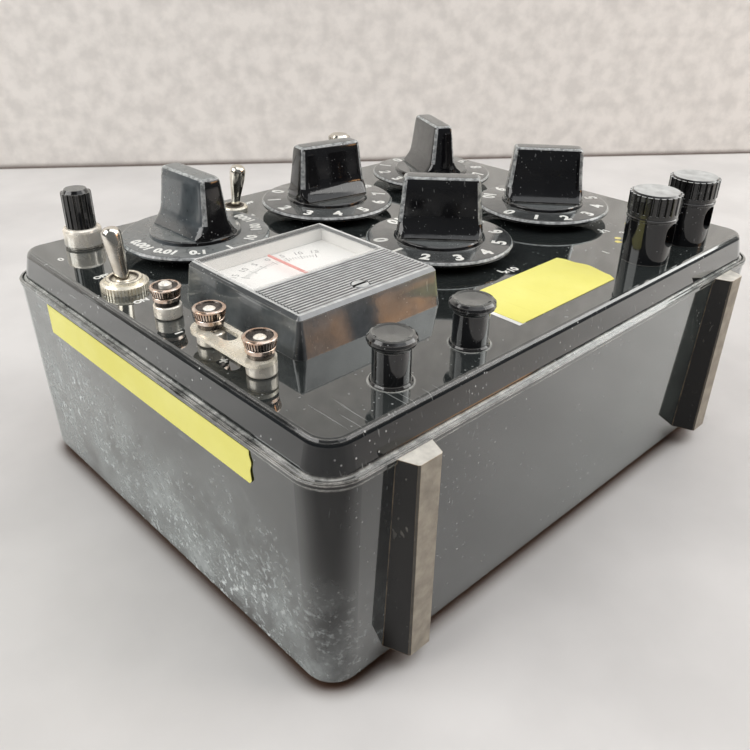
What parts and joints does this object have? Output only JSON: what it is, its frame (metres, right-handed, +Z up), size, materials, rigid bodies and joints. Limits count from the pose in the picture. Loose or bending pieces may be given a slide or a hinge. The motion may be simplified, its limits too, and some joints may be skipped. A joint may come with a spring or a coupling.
{
  "type": "wheatstone bridge",
  "caption": "Portable resistance bridge: black moulded case and deck with bar-knob dials, pointer meter, push keys, toggle switches and binding posts.",
  "frame": {"origin": "centre of the footprint, rails included, on the surface that the rubber feet stand on", "axes": "+Z up, +X to the user's right along the front wall, -Y towards the user"},
  "size_m": [0.235, 0.1898, 0.1154],
  "materials": {
    "phenolic_case": "glossy moulded black phenolic, scuffed",
    "phenolic_deck": "glossy moulded black phenolic, dusty",
    "phenolic_knob": "glossy black moulding with white filled figures",
    "black_fitting": "glossy black moulding",
    "meter_plastic": "black moulding, semi-gloss",
    "nickel": "aged nickel plate",
    "warm_nickel": "aged nickel plate, yellowed",
    "steel": "turned steel",
    "brass": "dull brass",
    "copper": "browned brass",
    "rubber": "black rubber",
    "tape": "yellow label tape, blank",
    "board": "brown laminated board",
    "winding": "varnished resistance wire on a bobbin",
    "switch_body": "dark moulded switch body",
    "clear": "clear window",
    "dial_white": "white painted scale plate",
    "pointer_red": "red painted pointer",
    "magnet": "grey magnet steel",
    "battery_board": "dark pressed board",
    "cell": "plain lacquered cell jackets"
  },
  "bodies": {
    "bridge": {"case_shell": "phenolic_case", "front_rails": "phenolic_case", "rubber_feet": "rubber", "tie_screws": "steel", "battery_hatch": "phenolic_case", "hatch_screws": "steel", "side_label": "tape", "deck": "phenolic_deck", "deck_label": "tape", "switch_bushings": "nickel", "deck_nuts": "nickel", "wafer_pillars": "steel", "switch_wafers": "board", "contact_studs": "brass", "resistance_spools": "winding", "bus_bars": "brass", "key_bezels": "black_fitting", "key_contacts": "brass", "toggle_bodies": "switch_body", "toggle_dress_ring": "warm_nickel", "toggle_nut": "warm_nickel", "post_bases": "nickel", "shorting_link": "warm_nickel", "corner_base": "nickel", "corner_collar": "nickel", "rear_base": "nickel", "terminal_bodies": "black_fitting", "terminal_studs": "copper", "meter_housing": "meter_plastic", "meter_cover": "meter_plastic", "meter_window": "clear", "meter_dial": "dial_white", "meter_movement": "magnet", "battery_box": "battery_board", "battery_cells": "cell"},
    "ratio_switch": {"knob_ratio": "phenolic_knob", "shaft_ratio": "steel"},
    "thousands_switch": {"knob_thousands": "phenolic_knob", "shaft_thousands": "steel"},
    "hundreds_switch": {"knob_hundreds": "phenolic_knob", "shaft_hundreds": "steel"},
    "tens_switch": {"knob_tens": "phenolic_knob", "shaft_tens": "steel"},
    "units_switch": {"knob_units": "phenolic_knob", "shaft_units": "steel"},
    "battery_key": {"key_battery": "black_fitting"},
    "galvo_key": {"key_galvo": "black_fitting"},
    "left_toggle": {"lever_left": "nickel"},
    "rear_toggle": {"lever_rear": "nickel"},
    "front_nut": {"thumb_nut_front": "nickel"},
    "middle_nut": {"thumb_nut_middle": "nickel"},
    "back_nut": {"thumb_nut_back": "nickel"},
    "corner_terminal": {"corner_head": "black_fitting"},
    "rear_terminal": {"rear_head": "nickel"},
    "left_terminal": {"terminal_cap_left": "black_fitting"},
    "right_terminal": {"terminal_cap_right": "black_fitting"},
    "pointer": {"meter_pointer": "pointer_red"},
    "zero_adjuster": {"zero_screw": "black_fitting"}
  },
  "joints": [
    {"name": "ratio_turn", "type": "hinge", "parent": "bridge", "child": "ratio_switch", "pos_m": [-0.0617, 0.05035, 0.0871], "axis": [0, 0, 1], "range_deg": [-90, 90]},
    {"name": "thousands_turn", "type": "hinge", "parent": "bridge", "child": "thousands_switch", "pos_m": [0.0036, 0.05035, 0.0871], "axis": [0, 0, 1], "range_deg": [-150, 150]},
    {"name": "hundreds_turn", "type": "hinge", "parent": "bridge", "child": "hundreds_switch", "pos_m": [0.0689, 0.05035, 0.0871], "axis": [0, 0, 1], "range_deg": [-120, 180]},
    {"name": "tens_turn", "type": "hinge", "parent": "bridge", "child": "tens_switch", "pos_m": [0.0036, -0.01405, 0.0871], "axis": [0, 0, 1], "range_deg": [-180, 120]},
    {"name": "units_turn", "type": "hinge", "parent": "bridge", "child": "units_switch", "pos_m": [0.0689, -0.01405, 0.0871], "axis": [0, 0, 1], "range_deg": [-210, 90]},
    {"name": "battery_key_press", "type": "slide", "parent": "bridge", "child": "battery_key", "axis": [0, 0, -1], "range_m": [0, 0.003], "stiffness_N_per_m": 300, "springref_m": -0.004},
    {"name": "galvo_key_press", "type": "slide", "parent": "bridge", "child": "galvo_key", "axis": [0, 0, -1], "range_m": [0, 0.003], "stiffness_N_per_m": 300, "springref_m": -0.004},
    {"name": "left_toggle_tip", "type": "hinge", "parent": "bridge", "child": "left_toggle", "pos_m": [-0.1017, 0.03145, 0.0857], "axis": [1, 0, 0], "range_deg": [0, 26]},
    {"name": "rear_toggle_tip", "type": "hinge", "parent": "bridge", "child": "rear_toggle", "pos_m": [-0.0272, 0.07515, 0.0857], "axis": [1, 0, 0], "range_deg": [-26, 0]},
    {"name": "front_nut_turn", "type": "hinge", "parent": "bridge", "child": "front_nut", "pos_m": [-0.1022, -0.04515, 0.0871], "axis": [0, 0, 1], "continuous": true},
    {"name": "middle_nut_turn", "type": "hinge", "parent": "bridge", "child": "middle_nut", "pos_m": [-0.1022, -0.02105, 0.0871], "axis": [0, 0, 1], "continuous": true},
    {"name": "back_nut_turn", "type": "hinge", "parent": "bridge", "child": "back_nut", "pos_m": [-0.1022, 0.00305, 0.0871], "axis": [0, 0, 1], "continuous": true},
    {"name": "corner_terminal_turn", "type": "hinge", "parent": "bridge", "child": "corner_terminal", "pos_m": [-0.0933, 0.07815, 0.0871], "axis": [0, 0, 1], "continuous": true},
    {"name": "rear_terminal_turn", "type": "hinge", "parent": "bridge", "child": "rear_terminal", "pos_m": [0.0338, 0.07665, 0.0871], "axis": [0, 0, 1], "continuous": true},
    {"name": "left_terminal_turn", "type": "hinge", "parent": "bridge", "child": "left_terminal", "pos_m": [0.0548, -0.07125, 0.0871], "axis": [0, 0, 1], "continuous": true},
    {"name": "right_terminal_turn", "type": "hinge", "parent": "bridge", "child": "right_terminal", "pos_m": [0.0841, -0.07125, 0.0871], "axis": [0, 0, 1], "continuous": true},
    {"name": "pointer_swing", "type": "hinge", "parent": "bridge", "child": "pointer", "pos_m": [-0.0617, -0.02805, 0.0871], "axis": [0, 0, 1], "range_deg": [-30, 30]},
    {"name": "zero_adjuster_turn", "type": "hinge", "parent": "bridge", "child": "zero_adjuster", "pos_m": [-0.0617, -0.04085, 0.0871], "axis": [0, 0, 1], "range_deg": [-60, 60]}
  ]
}
